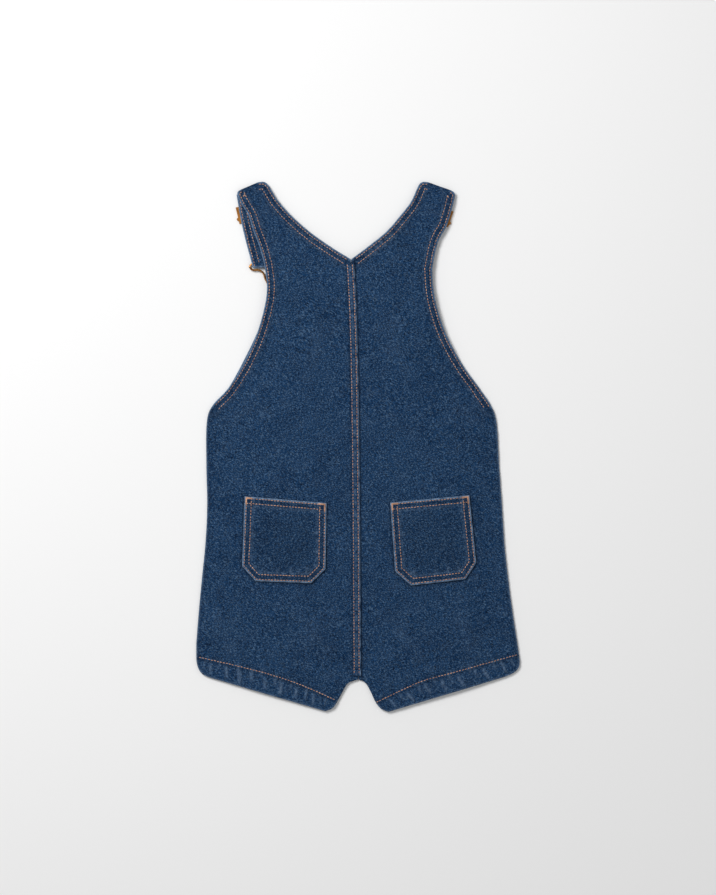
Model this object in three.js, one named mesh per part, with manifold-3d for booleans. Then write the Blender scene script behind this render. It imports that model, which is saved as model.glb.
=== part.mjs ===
// Denim short overalls for a toddler, lying front down on a flat surface with the back up.
// Millimetres. X runs across the garment, +Y towards the shoulder straps, and Z = 0 is the
// surface it lies on. "Outer" is the armhole and side-seam edge of a panel, "inner" is its
// neckline, centre-seam and inseam edge.
import * as THREE from "three";
import { mergeVertices } from "three/addons/utils/BufferGeometryUtils.js";
import Module from "manifold-3d";

const wasm = await Module();
wasm.setup();

// Driving dimensions
const CLOTH = 1.2;             // one layer of denim
const GAP = 0.3;               // clearance between neighbouring pieces
const SEAM_HALF_GAP = 0.2;     // from the centre seam line to the edge of either half
const SEAM_ALLOWANCE = 0.5;    // how far the front is cut inside the back at the side seams
const FELL_LEFT = 4.7;         // felled seam, from the seam line to its left fold
const FELL_RIGHT = 2.6;        // and to its right fold
const NECK_POINT = 174.7;      // where the centre-back seam starts
const CROTCH = -217.6;         // and where it ends
const SEAM_FOOT = 0.3;         // how far the seam stands to the right at the crotch
const SEAM_LEAN = 2.2;         // its steady lean over its length
const SEAM_TOP_BEND = 4.6;     // its bend towards the neckline
const SEAM_BEND_LENGTH = 70;
const CROTCH_WIDTH = 18;       // how far the legs are drawn down either side of the crotch
const WIRE = 0.9;              // radius of the hook wire
const WIRE_SIDES = 10;
const BUTTON_SIDES = 28;
const SLIDER = { length: 33.5, height: 15.5, rail: 2.4, thickness: 1.5, knob: 1.5, knobDrop: 3.6 };

const denim = { color: 0x213d60, roughness: 0.92, metalness: 0 };
const denimDark = { color: 0x1c3657, roughness: 0.92, metalness: 0 };
const brass = { color: 0xb98a3e, roughness: 0.34, metalness: 1 };

const byName = (names, rows) => rows.map(
  (row) => Object.fromEntries(row.map((value, index) => [names[index], value])));

const EDGES = ["outerX", "outerY", "innerX", "innerY"];
const TO_SEAM = ["outerX", "outerY", "innerY"];   // rows that end on the centre seam

// Back panels: each row joins a point of the outer edge to one of the inner edge.
const backLeft = {
  strap: byName(EDGES, [
    [-109.5, 239.6, -93.0, 246.8],
    [-112.6, 235.8, -85.0, 245.6],
    [-108.0, 225.0, -75.0, 230.0],
    [-102.2, 215.5, -61.5, 214.8],
    [-97.5, 201.0, -44.5, 199.8],
    [-92.0, 186.5, -23.5, 185.0],
    [-87.4, 170.0, -6.7, 174.7],
  ]),
  seat: byName(TO_SEAM, [
    [-87.4, 170.0, 174.7],
    [-84.9, 150.0, 150.0],
    [-86.9, 131.0, 130.0],
    [-95.0, 103.0, 103.0],
    [-107.0, 77.0, 77.0],
    [-121.5, 54.0, 54.0],
    [-136.0, 38.0, 37.0],
    [-141.2, 22.0, 20.0],
    [-141.6, -15.0, -20.0],
    [-140.8, -55.0, -65.0],
    [-142.4, -90.0, -110.0],
    [-145.6, -122.0, -152.0],
    [-148.6, -154.0, -190.0],
    [-151.0, -184.0, -217.6],
  ]),
  leg: byName(EDGES, [
    [-151.0, -184.0, 0.1, -217.6],
    [-151.0, -194.0, -9.0, -220.8],
    [-150.6, -201.5, -14.5, -229.0],
    [-148.4, -208.4, -19.0, -237.5],
    [-144.8, -212.6, -23.6, -244.0],
    [-139.5, -215.2, -30.5, -247.0],
  ]),
};

const backRight = {
  strap: byName(EDGES, [
    [87.0, 238.9, 65.0, 246.9],
    [90.4, 235.0, 57.6, 245.2],
    [87.6, 221.5, 49.5, 228.5],
    [82.6, 205.5, 39.0, 214.8],
    [75.8, 193.4, 26.0, 200.0],
    [71.8, 180.0, 8.0, 185.4],
    [69.2, 165.0, -6.3, 174.7],
  ]),
  seat: byName(TO_SEAM, [
    [69.2, 165.0, 174.7],
    [70.2, 148.0, 150.0],
    [74.2, 128.0, 130.0],
    [83.0, 103.0, 103.0],
    [97.2, 77.0, 77.0],
    [113.6, 54.0, 54.0],
    [124.8, 37.0, 37.0],
    [129.6, 20.0, 20.0],
    [131.6, -15.0, -20.0],
    [134.4, -55.0, -65.0],
    [136.6, -90.0, -110.0],
    [140.0, -122.0, -152.0],
    [144.2, -154.0, -190.0],
    [148.8, -184.0, -217.6],
  ]),
  leg: byName(EDGES, [
    [148.8, -184.0, 0.5, -217.6],
    [150.3, -195.0, 6.8, -220.4],
    [151.0, -202.0, 11.8, -228.8],
    [149.2, -207.6, 16.2, -238.2],
    [144.6, -211.6, 21.4, -244.6],
    [137.5, -214.8, 28.5, -247.6],
  ]),
};

// The bib above the underarm. Below it the front follows the back.
const bibLeft = byName(TO_SEAM, [
  [-80.5, 153.0, 152.0],
  [-83.0, 149.0, 148.0],
  [-84.6, 131.0, 130.0],
  [-94.6, 105.0, 103.0],
  [-108.4, 77.0, 77.0],
  [-121.2, 54.5, 54.0],
]);
const bibRight = byName(TO_SEAM, [
  [66.0, 153.0, 152.0],
  [68.4, 149.0, 148.0],
  [72.6, 128.0, 130.0],
  [81.6, 103.0, 103.0],
  [96.0, 77.0, 77.0],
  [113.0, 54.0, 54.0],
]);

// Patch pockets: top edge, start of the slanted corners, bottom edge.
const pocketLeft = byName(EDGES, [
  [-105.6, -46.4, -29.2, -52.6],
  [-108.0, -111.6, -30.2, -114.0],
  [-95.4, -125.4, -43.6, -127.2],
]);
const pocketRight = byName(EDGES, [
  [103.8, -45.4, 30.0, -52.2],
  [110.2, -108.4, 34.6, -116.2],
  [100.2, -123.6, 49.4, -129.4],
]);

// The straps' front run, from the shoulder fold to the end that holds the hook.
const strapLeft = byName(EDGES, [
  [-113.4, 235.2, -85.4, 242.2],
  [-111.4, 223.2, -83.0, 229.6],
  [-108.8, 209.0, -80.4, 215.4],
  [-105.2, 193.4, -76.8, 199.4],
  [-100.8, 177.0, -72.0, 181.4],
  [-98.1, 166.8, -69.2, 167.6],
]);
const strapRight = byName(EDGES, [
  [88.4, 234.6, 61.0, 243.8],
  [86.4, 223.2, 57.6, 231.0],
  [82.4, 210.0, 54.0, 218.0],
  [75.6, 193.0, 47.0, 199.6],
  [68.0, 177.0, 39.4, 181.0],
  [63.6, 166.8, 34.8, 167.6],
]);

// Height of the back's underside: at its rim, at its crown, and the half width between them.
const backHeights = byName(["at", "rim", "crown", "half"], [
  [248, 1.8, 1.8, 110],
  [238, 3.4, 3.4, 106],
  [222, 3.6, 3.6, 100],
  [190, 4.2, 4.2, 90],
  [172, 5.3, 5.4, 84],
  [130, 5.8, 6.4, 80],
  [100, 4.5, 6.4, 90],
  [68, 1.6, 6.0, 108],
  [35, 1.5, 5.8, 132],
  [-60, 1.5, 6.2, 138],
  [-130, 1.5, 6.0, 143],
  [-200, 1.5, 4.4, 151],
  [-248, 1.5, 2.4, 151],
]);
// Height of the front's underside. It lies flat below the chest.
const frontHeights = byName(["at", "lower"], [
  [154, 4.0],
  [122, 4.0],
  [100, 2.6],
  [72, 0],
  [-250, 0],
]);
// Height of the strap's underside along its front run, 0 at the fold and 1 at the hook.
const strapHeights = byName(["at", "lower"], [
  [0, 0.4],
  [0.1, 1.8],
  [0.45, 1.8],
  [0.52, 1.5],
  [0.75, 1.5],
  [0.9, 3.6],
  [1, 3.6],
]);
const TAIL_START = 0.47;        // where the sewn-back tail of the strap ends below the slider
const STRAP_END_WALL = 0.014;   // share of the run taken by the turn round the hook's bar

// Hook wire in the hook's own frame: across, down from its bar, height.
const HOOK_ROUTE = [
  [-0.6, 0, 2.4],
  [-8, 0, 2.4],
  [-15.5, 0, 2.4],
  [-17.6, 2.4, 2.4],
  [-15.5, 5.2, 2.4],
  [-9, 5.6, 2.4],
  [-5.8, 8, 2.5],
  [-5.2, 14, 2.6],
  [-4.6, 19, 2.8],
  [-5.4, 25, 2.8],
  [-3, 30, 2.8],
  [0, 31.2, 2.8],
];
const HOOK_LEAN = 7.9;          // sideways reach of the hook at the button
const BUTTON_DOWN = 25.5;       // from the hook's bar down to the button
const hooks = {
  left: { x: -83.6, y: 170.2, lean: 1 },
  right: { x: 49.2, y: 170.2, lean: -1 },
};
const sliders = {
  left: { x: -96.2, y: 219.4, turn: 0.226 },
  right: { x: 70.8, y: 217.6, turn: -0.33 },
};

// A value that runs smoothly between the rows of a table.
function along(rows, at, column) {
  const falling = rows[0].at > rows[rows.length - 1].at;
  const passed = (row) => (falling ? row.at >= at : row.at <= at);
  const index = Math.min(Math.max(rows.filter(passed).length - 1, 0), rows.length - 2);
  const [from, to] = [rows[index], rows[index + 1]];
  const share = THREE.MathUtils.clamp((at - from.at) / (to.at - from.at), 0, 1);
  const eased = (1 - Math.cos(Math.PI * share)) / 2;
  return THREE.MathUtils.lerp(from[column], to[column], eased);
}

// The centre-back seam bends in from the neckline and then runs almost straight to the crotch.
const seamX = (y) => SEAM_FOOT - SEAM_TOP_BEND * Math.exp((y - NECK_POINT) / SEAM_BEND_LENGTH)
  - SEAM_LEAN * (y - CROTCH) / (NECK_POINT - CROTCH);

// Rows whose inner end lies on the centre seam, on the side their outer edge is.
const onSeam = (rows) => rows.map((row) => ({
  ...row, innerX: seamX(row.innerY) + Math.sign(row.outerX) * SEAM_HALF_GAP,
}));

function backUnderside({ x, y }) {
  const at = Math.abs(x - seamX(y));
  const [rim, crown, half] = ["rim", "crown", "half"].map((name) => along(backHeights, y, name));
  const fall = 1 - THREE.MathUtils.smoothstep(at / half, 0.5, 1);
  const crotch = THREE.MathUtils.smoothstep(-y, 150, 217) * Math.exp(-((at / CROTCH_WIDTH) ** 2));
  return rim + (crown - rim) * fall * (1 - crotch);
}

const backTop = (point) => backUnderside(point) + CLOTH;
const frontUnderside = ({ y }) => along(frontHeights, y, "lower");

// Rows of points spread between the rows of a table along smooth edges.
function spread(section, steps) {
  const outer = new THREE.SplineCurve(section.map((r) => new THREE.Vector2(r.outerX, r.outerY)));
  const inner = new THREE.SplineCurve(section.map((r) => new THREE.Vector2(r.innerX, r.innerY)));
  const count = (section.length - 1) * steps;
  return Array.from({ length: count + 1 }, (_, index) => ({
    outer: outer.getPoint(index / count),
    inner: inner.getPoint(index / count),
    run: index / count,
  }));
}

// Sections that follow each other share their joining row.
const joined = (...sections) => sections.flatMap((rows, index) => (index ? rows.slice(1) : rows));

// A closed wall of cloth over rows of points: lowerAt gives its underside.
function cloth(rows, columns, lowerAt, thickness = CLOTH) {
  const across = columns + 1;
  const layer = rows.length * across;
  const mirrored = rows[0].outer.x > rows[0].inner.x;
  const positions = [];
  for (const lift of [0, thickness]) {
    for (const row of rows) {
      for (let column = 0; column < across; column += 1) {
        const point = row.outer.clone().lerp(row.inner, column / columns);
        positions.push(point.x, point.y, lowerAt(point, row.run) + lift);
      }
    }
  }
  const index = [];
  const quad = (a, b, c, d) => {
    index.push(...(mirrored ? [a, c, b, a, d, c] : [a, b, c, a, c, d]));
  };
  for (let row = 0; row < rows.length - 1; row += 1) {
    for (let column = 0; column < columns; column += 1) {
      const a = row * across + column;
      quad(a, a + 1, a + across + 1, a + across);
      quad(layer + a, layer + a + across, layer + a + across + 1, layer + a + 1);
    }
  }
  const last = (rows.length - 1) * across;
  const rim = [
    ...Array.from({ length: columns }, (_, i) => i),
    ...Array.from({ length: rows.length - 1 }, (_, i) => i * across + columns),
    ...Array.from({ length: columns }, (_, i) => last + columns - i),
    ...Array.from({ length: rows.length - 1 }, (_, i) => last - i * across),
  ];
  rim.forEach((from, place) => {
    const to = rim[(place + 1) % rim.length];
    quad(from, layer + from, layer + to, to);
  });
  const geometry = new THREE.BufferGeometry();
  geometry.setAttribute("position", new THREE.Float32BufferAttribute(positions, 3));
  geometry.setIndex(index);
  return geometry;
}

function toSolid(geometry) {
  const bare = geometry.clone();
  bare.deleteAttribute("normal");
  bare.deleteAttribute("uv");
  const merged = mergeVertices(bare, 1e-4);
  return new wasm.Manifold(new wasm.Mesh({
    numProp: 3,
    vertProperties: Float32Array.from(merged.attributes.position.array),
    triVerts: Uint32Array.from(merged.index.array),
  }));
}

function toGeometry(solid) {
  const mesh = solid.getMesh();
  const geometry = new THREE.BufferGeometry();
  geometry.setAttribute("position", new THREE.BufferAttribute(mesh.vertProperties, 3));
  geometry.setIndex(new THREE.BufferAttribute(mesh.triVerts, 1));
  return geometry;
}

const garment = new THREE.Group();

function add(name, geometry, finish) {
  const mesh = new THREE.Mesh(geometry, new THREE.MeshStandardMaterial(finish));
  mesh.name = name;
  mesh.geometry.computeVertexNormals();
  garment.add(mesh);
  return mesh;
}

// Back panels, each with its shoulder strap cut in one with it
function addBack(name, panel) {
  const rows = joined(spread(panel.strap, 2), spread(onSeam(panel.seat), 2), spread(panel.leg, 2));
  add(name, cloth(rows, 12, backUnderside), denim);
}
addBack("back_left", backLeft);
addBack("back_right", backRight);

// The felled seam that joins the two backs, lying on both
function addFelledSeam() {
  const row = (y) => ({
    outerX: seamX(y) - FELL_LEFT, outerY: y, innerX: seamX(y) + FELL_RIGHT, innerY: y,
  });
  add("centre_back_seam", cloth(spread([row(170), row(-214)], 40), 2,
    (point) => backTop(point) + GAP), denim);
}
addFelledSeam();

// Front panels: bib and leg in one, cut a seam allowance inside the back
function addFront(name, bib, panel) {
  const side = Math.sign(bib[0].outerX);
  const underBack = (row) => ({
    ...row,
    outerX: row.outerX - side * SEAM_ALLOWANCE,
    innerX: row.innerX + side * SEAM_ALLOWANCE / 2,
    outerY: row.outerY + SEAM_ALLOWANCE,
    innerY: row.innerY + SEAM_ALLOWANCE,
  });
  const hips = onSeam(panel.seat).filter((row) => row.outerY < 54).map(underBack);
  const chest = [...onSeam(bib), ...hips];
  const leg = panel.leg.map(underBack);
  add(name, cloth(joined(spread(chest, 2), spread(leg, 2)), 8, frontUnderside), denimDark);
}
addFront("front_left", bibLeft, backLeft);
addFront("front_right", bibRight, backRight);

// Patch pockets, laid on the back
function addPocket(name, [top, corner, bottom]) {
  const rows = joined(spread([top, corner], 6), spread([corner, bottom], 2));
  add(name, cloth(rows, 6, (point) => backTop(point) + GAP), denim);
}
addPocket("pocket_left", pocketLeft);
addPocket("pocket_right", pocketRight);

// Front run of a strap, turned round the hook's bar and sewn back up to the slider
function addStrap(name, table) {
  const rows = spread(table, 4);
  const lowerAt = (_, run) => along(strapHeights, run, "lower");
  const top = strapHeights[strapHeights.length - 1].lower + CLOTH;
  const run = toSolid(cloth(rows, 4, lowerAt));
  const tail = toSolid(cloth(rows.filter((row) => row.run >= TAIL_START), 4, () => 0));
  const end = rows[rows.length - 1];
  const inside = {
    outer: end.outer.clone().lerp(rows[0].outer, STRAP_END_WALL),
    inner: end.inner.clone().lerp(rows[0].inner, STRAP_END_WALL),
  };
  const turn = toSolid(cloth([inside, end], 4, () => 0, top));
  add(name, toGeometry(run.add(tail).add(turn)), denim);
}
addStrap("strap_front_left", strapLeft);
addStrap("strap_front_right", strapRight);

// Brass wire hook: its bar lies in the strap's turn and its loop holds the button's neck
function addHook(name, { x, y, lean }) {
  const half = HOOK_ROUTE.map(([across, down, height]) => {
    const swing = lean * HOOK_LEAN * Math.min(1, down / BUTTON_DOWN) ** 2;
    return [new THREE.Vector3(x + across + swing, y - down, height),
      new THREE.Vector3(x - across + swing, y - down, height)];
  });
  const returning = half.slice(0, -1).reverse();
  const points = [...half.map(([left]) => left), ...returning.map(([, right]) => right)];
  const section = new THREE.Shape().absarc(0, 0, WIRE, 0, 2 * Math.PI);
  add(name, new THREE.ExtrudeGeometry(section, {
    steps: 72,
    curveSegments: WIRE_SIDES / 2,
    extrudePath: new THREE.CatmullRomCurve3(points),
  }), brass);
}
addHook("hook_left", hooks.left);
addHook("hook_right", hooks.right);

// Bib button: a domed head on the surface side and a neck up to the bib
function addButton(name, { x, y, lean }) {
  const profile = [[0, 0], [5.2, 0], [6.9, 0.4], [7.4, 1], [6.9, 1.6], [3.1, 1.7], [2.8, 3.7], [0, 3.7]];
  const geometry = new THREE.LatheGeometry(profile.map((p) => new THREE.Vector2(...p)), BUTTON_SIDES);
  geometry.rotateX(Math.PI / 2);
  geometry.translate(x + lean * HOOK_LEAN, y - BUTTON_DOWN, 0);
  add(name, geometry, brass);
}
addButton("bib_button_left", hooks.left);
addButton("bib_button_right", hooks.right);

// Slide adjuster: a frame with two windows and a bar whose ends stand out as small knobs
function addSlider(name, { x, y, turn }) {
  const { length, height, rail, thickness, knob, knobDrop } = SLIDER;
  const [halfLength, halfHeight] = [length / 2, height / 2];
  const outline = new THREE.Shape();
  outline.moveTo(-halfLength, halfHeight);
  outline.lineTo(-halfLength, -knobDrop + knob);
  outline.absarc(-halfLength, -knobDrop, knob, Math.PI / 2, 1.5 * Math.PI, false);
  outline.lineTo(-halfLength, -halfHeight);
  outline.lineTo(halfLength, -halfHeight);
  outline.lineTo(halfLength, -knobDrop - knob);
  outline.absarc(halfLength, -knobDrop, knob, -Math.PI / 2, Math.PI / 2, false);
  outline.lineTo(halfLength, halfHeight);
  outline.closePath();
  const inside = halfLength - rail;
  for (const [low, high] of [[-halfHeight + rail, -rail / 2], [rail / 2, halfHeight - rail]]) {
    const window = new THREE.Path();
    window.moveTo(-inside, low);
    window.lineTo(inside, low);
    window.lineTo(inside, high);
    window.lineTo(-inside, high);
    window.closePath();
    outline.holes.push(window);
  }
  const mesh = add(name, new THREE.ExtrudeGeometry(outline, {
    depth: thickness, bevelEnabled: false, curveSegments: 6,
  }), brass);
  mesh.rotation.z = turn;
  mesh.position.set(x, y, 0);
}
addSlider("slider_left", sliders.left);
addSlider("slider_right", sliders.right);

export default garment;
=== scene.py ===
# Denim short overalls laid front down: cloth, topstitching and brass fittings round the CAD frame.
import math

import bpy
import numpy as np
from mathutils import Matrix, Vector
from mathutils.bvhtree import BVHTree


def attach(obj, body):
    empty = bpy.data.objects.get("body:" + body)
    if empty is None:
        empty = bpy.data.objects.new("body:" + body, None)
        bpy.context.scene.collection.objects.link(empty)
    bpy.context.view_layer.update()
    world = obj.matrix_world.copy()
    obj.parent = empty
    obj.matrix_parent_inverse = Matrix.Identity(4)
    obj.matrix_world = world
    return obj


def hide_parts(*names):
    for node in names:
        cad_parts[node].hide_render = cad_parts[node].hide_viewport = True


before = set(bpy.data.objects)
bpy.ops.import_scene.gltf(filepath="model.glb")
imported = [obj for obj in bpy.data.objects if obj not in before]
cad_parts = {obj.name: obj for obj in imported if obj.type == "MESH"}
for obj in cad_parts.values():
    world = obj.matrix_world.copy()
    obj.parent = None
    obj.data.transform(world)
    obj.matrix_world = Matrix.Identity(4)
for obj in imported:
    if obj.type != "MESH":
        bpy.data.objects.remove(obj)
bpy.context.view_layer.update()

MM = 0.001
LEFT, RIGHT = 1, -1            # the side a panel is on, as the turn of its inward normals

# Camera, light and floor ----------------------------------------------------------------

FIELD = 0.8342                 # height of the view at the cloth
CAMERA_HEIGHT = 2.4
CLOTH_LEVEL = 0.006
SENSOR_WIDTH = 36
CAMERA_Y = -0.0009             # centres the garment in the view


def add_camera():
    data = bpy.data.cameras.new("camera")
    data.sensor_width = SENSOR_WIDTH
    data.lens = SENSOR_WIDTH * (CAMERA_HEIGHT - CLOTH_LEVEL) / FIELD
    camera = bpy.data.objects.new("camera", data)
    camera.location = (0, CAMERA_Y, CAMERA_HEIGHT)
    bpy.context.collection.objects.link(camera)
    bpy.context.scene.camera = camera


def add_area_light(name, location, size, watts, target=(0, 0, 0)):
    data = bpy.data.lights.new(name, "AREA")
    data.size = size
    data.energy = watts
    light = bpy.data.objects.new(name, data)
    light.location = location
    light.rotation_euler = (Vector(target) - Vector(location)).to_track_quat("-Z", "Y").to_euler()
    bpy.context.collection.objects.link(light)


def add_floor():
    bpy.ops.mesh.primitive_plane_add(size=6, location=(0, 0, 0))
    floor = bpy.context.object
    floor.name = "floor"
    material = bpy.data.materials.new("pale_paper")
    material.use_nodes = True
    shader = material.node_tree.nodes["Principled BSDF"]
    shader.inputs["Base Color"].default_value = (0.85, 0.85, 0.85, 1)
    shader.inputs["Roughness"].default_value = 0.9
    floor.data.materials.append(material)


add_camera()
add_floor()
add_area_light("soft_window", (-0.9, 0.9, 1.6), 0.8, 33)
add_area_light("fill", (1.2, -0.6, 2.0), 2.2, 6)
bpy.context.scene.view_settings.view_transform = "Standard"
world = bpy.data.worlds.new("studio")
bpy.context.scene.world = world
world.use_nodes = True
world.node_tree.nodes["Background"].inputs["Color"].default_value = (1, 1, 1, 1)
world.node_tree.nodes["Background"].inputs["Strength"].default_value = 0.38

# The cut, in millimetres as in the frame --------------------------------------------------

CLOTH = 1.2
GAP = 0.3
SEAM_ALLOWANCE = 0.5
SEAM_HALF_GAP = 0.2
FELL_LEFT = 4.7
FELL_RIGHT = 2.6
NECK_POINT = 174.7
CROTCH = -217.6
SEAM_FOOT = 0.3
SEAM_LEAN = 2.2
SEAM_TOP_BEND = 4.6
SEAM_BEND_LENGTH = 70
CROTCH_WIDTH = 18

# Panels: rows of outer x, outer y, inner x, inner y. Seat and bib rows end on the centre
# seam and hold outer x, outer y, inner y.
BACK = {
    LEFT: {
        "strap": [
            (-109.5, 239.6, -93.0, 246.8), (-112.6, 235.8, -85.0, 245.6),
            (-108.0, 225.0, -75.0, 230.0), (-102.2, 215.5, -61.5, 214.8),
            (-97.5, 201.0, -44.5, 199.8), (-92.0, 186.5, -23.5, 185.0),
            (-87.4, 170.0, -6.7, 174.7)],
        "seat": [
            (-87.4, 170.0, 174.7), (-84.9, 150.0, 150.0), (-86.9, 131.0, 130.0),
            (-95.0, 103.0, 103.0), (-107.0, 77.0, 77.0), (-121.5, 54.0, 54.0),
            (-136.0, 38.0, 37.0), (-141.2, 22.0, 20.0), (-141.6, -15.0, -20.0),
            (-140.8, -55.0, -65.0), (-142.4, -90.0, -110.0), (-145.6, -122.0, -152.0),
            (-148.6, -154.0, -190.0), (-151.0, -184.0, -217.6)],
        "leg": [
            (-151.0, -184.0, 0.1, -217.6), (-151.0, -194.0, -9.0, -220.8),
            (-150.6, -201.5, -14.5, -229.0), (-148.4, -208.4, -19.0, -237.5),
            (-144.8, -212.6, -23.6, -244.0), (-139.5, -215.2, -30.5, -247.0)],
        "bib": [
            (-80.5, 153.0, 152.0), (-83.0, 149.0, 148.0), (-84.6, 131.0, 130.0),
            (-94.6, 105.0, 103.0), (-108.4, 77.0, 77.0), (-121.2, 54.5, 54.0)],
    },
    RIGHT: {
        "strap": [
            (87.0, 238.9, 65.0, 246.9), (90.4, 235.0, 57.6, 245.2),
            (87.6, 221.5, 49.5, 228.5), (82.6, 205.5, 39.0, 214.8),
            (75.8, 193.4, 26.0, 200.0), (71.8, 180.0, 8.0, 185.4),
            (69.2, 165.0, -6.3, 174.7)],
        "seat": [
            (69.2, 165.0, 174.7), (70.2, 148.0, 150.0), (74.2, 128.0, 130.0),
            (83.0, 103.0, 103.0), (97.2, 77.0, 77.0), (113.6, 54.0, 54.0),
            (124.8, 37.0, 37.0), (129.6, 20.0, 20.0), (131.6, -15.0, -20.0),
            (134.4, -55.0, -65.0), (136.6, -90.0, -110.0), (140.0, -122.0, -152.0),
            (144.2, -154.0, -190.0), (148.8, -184.0, -217.6)],
        "leg": [
            (148.8, -184.0, 0.5, -217.6), (150.3, -195.0, 6.8, -220.4),
            (151.0, -202.0, 11.8, -228.8), (149.2, -207.6, 16.2, -238.2),
            (144.6, -211.6, 21.4, -244.6), (137.5, -214.8, 28.5, -247.6)],
        "bib": [
            (66.0, 153.0, 152.0), (68.4, 149.0, 148.0), (72.6, 128.0, 130.0),
            (81.6, 103.0, 103.0), (96.0, 77.0, 77.0), (113.0, 54.0, 54.0)],
    },
}
POCKET = {
    LEFT: [(-105.6, -46.4, -29.2, -52.6), (-108.0, -111.6, -30.2, -114.0),
           (-95.4, -125.4, -43.6, -127.2)],
    RIGHT: [(103.8, -45.4, 30.0, -52.2), (110.2, -108.4, 34.6, -116.2),
            (100.2, -123.6, 49.4, -129.4)],
}
STRAP_FRONT = {
    LEFT: [(-113.4, 235.2, -85.4, 242.2), (-111.4, 223.2, -83.0, 229.6),
           (-108.8, 209.0, -80.4, 215.4), (-105.2, 193.4, -76.8, 199.4),
           (-100.8, 177.0, -72.0, 181.4), (-98.1, 166.8, -69.2, 167.6)],
    RIGHT: [(88.4, 234.6, 61.0, 243.8), (86.4, 223.2, 57.6, 231.0),
            (82.4, 210.0, 54.0, 218.0), (75.6, 193.0, 47.0, 199.6),
            (68.0, 177.0, 39.4, 181.0), (63.6, 166.8, 34.8, 167.6)],
}
# Heights of the undersides: y, then rim, crown and half width of the back
BACK_HEIGHTS = np.array([
    (-248, 1.5, 2.4, 151), (-200, 1.5, 4.4, 151), (-130, 1.5, 6.0, 143), (-60, 1.5, 6.2, 138),
    (35, 1.5, 5.8, 132), (68, 1.6, 6.0, 108), (100, 4.5, 6.4, 90), (130, 5.8, 6.4, 80),
    (172, 5.3, 5.4, 84), (190, 4.2, 4.2, 90), (222, 3.6, 3.6, 100), (238, 3.4, 3.4, 106),
    (248, 1.8, 1.8, 110)])
FRONT_HEIGHTS = np.array([(-250, 0), (72, 0), (100, 2.6), (122, 4.0), (154, 4.0)])
STRAP_HEIGHTS = np.array([(0, 0.4), (0.1, 1.8), (0.45, 1.8), (0.52, 1.5), (0.75, 1.5),
                          (0.9, 3.6), (1, 3.6)])
STRAP_TAIL = 0.47              # share of the run where the sewn-back tail ends

# Points between the rows of each section, and columns across each shell
SEAT_STEPS = 14
STRAP_STEPS = 9
LEG_STEPS = 10
HEM_STEPS = 12
FRONT_CHEST_STEPS = 8
FRONT_LEG_STEPS = 6
STRAP_FRONT_STEPS = 20
BACK_COLUMNS = 104
SEAM_COLUMNS = 26
POCKET_COLUMNS = 72
FRONT_COLUMNS = 60
STRAP_COLUMNS = 34
UNDERARM_ROW = 6               # seat row at the foot of the armhole
BIB_UNDERARM_ROW = 5
HIP_TOP = 54                   # the front's seat rows start below this
FRONT_HEM = 16


def along(table, at, column):
    """A value that runs smoothly between the rows of a table, as in the frame."""
    place = np.clip(np.searchsorted(table[:, 0], at) - 1, 0, len(table) - 2)
    start, stop = table[place], table[place + 1]
    share = np.clip((at - start[..., 0]) / (stop[..., 0] - start[..., 0]), 0, 1)
    eased = (1 - np.cos(np.pi * share)) / 2
    return start[..., column] + (stop[..., column] - start[..., column]) * eased


def smooth(value, low, high):
    share = np.clip((value - low) / (high - low), 0, 1)
    return share * share * (3 - 2 * share)


def bell(value, centre, width):
    return np.exp(-((value - centre) / width) ** 2)


def seam_x(y):
    bend = SEAM_TOP_BEND * np.exp((y - NECK_POINT) / SEAM_BEND_LENGTH)
    return SEAM_FOOT - bend - SEAM_LEAN * (y - CROTCH) / (NECK_POINT - CROTCH)


def back_underside(x, y):
    off = np.abs(x - seam_x(y))
    rim, crown, half = (along(BACK_HEIGHTS, y, column) for column in (1, 2, 3))
    fall = 1 - smooth(off / half, 0.5, 1)
    crotch = smooth(-y, 150, 217) * bell(off, 0, CROTCH_WIDTH)
    return rim + (crown - rim) * fall * (1 - crotch)


def spline(points, steps):
    """Points spread along a smooth curve through the given ones."""
    points = np.asarray(points, float)
    padded = np.vstack([points[:1], points, points[-1:]])
    spots = np.linspace(0, len(points) - 1, (len(points) - 1) * steps + 1)
    place = np.minimum(spots.astype(int), len(points) - 2)
    share = (spots - place)[:, None]
    before, start, stop, after = (padded[place + shift] for shift in range(4))
    into, away = (stop - before) / 2, (after - start) / 2
    return ((2 * start - 2 * stop + into + away) * share ** 3
            + (3 * stop - 3 * start - 2 * into - away) * share ** 2 + into * share + start)


def section(rows, steps):
    """Outer and inner edge points of one section of a panel."""
    rows = np.asarray(rows, float)
    return spline(rows[:, :2], steps), spline(rows[:, 2:], steps)


def on_seam(rows, side):
    return [(x, y, seam_x(inner) - side * SEAM_HALF_GAP, inner) for x, y, inner in rows]


def chain(*sections):
    """Sections that share their joining row, as one outer and one inner edge."""
    outer = np.vstack([part[0][bool(k):] for k, part in enumerate(sections)])
    inner = np.vstack([part[1][bool(k):] for k, part in enumerate(sections)])
    return outer, inner


# Edges: lines along which cloth is turned, sewn or worn -----------------------------------


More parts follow.
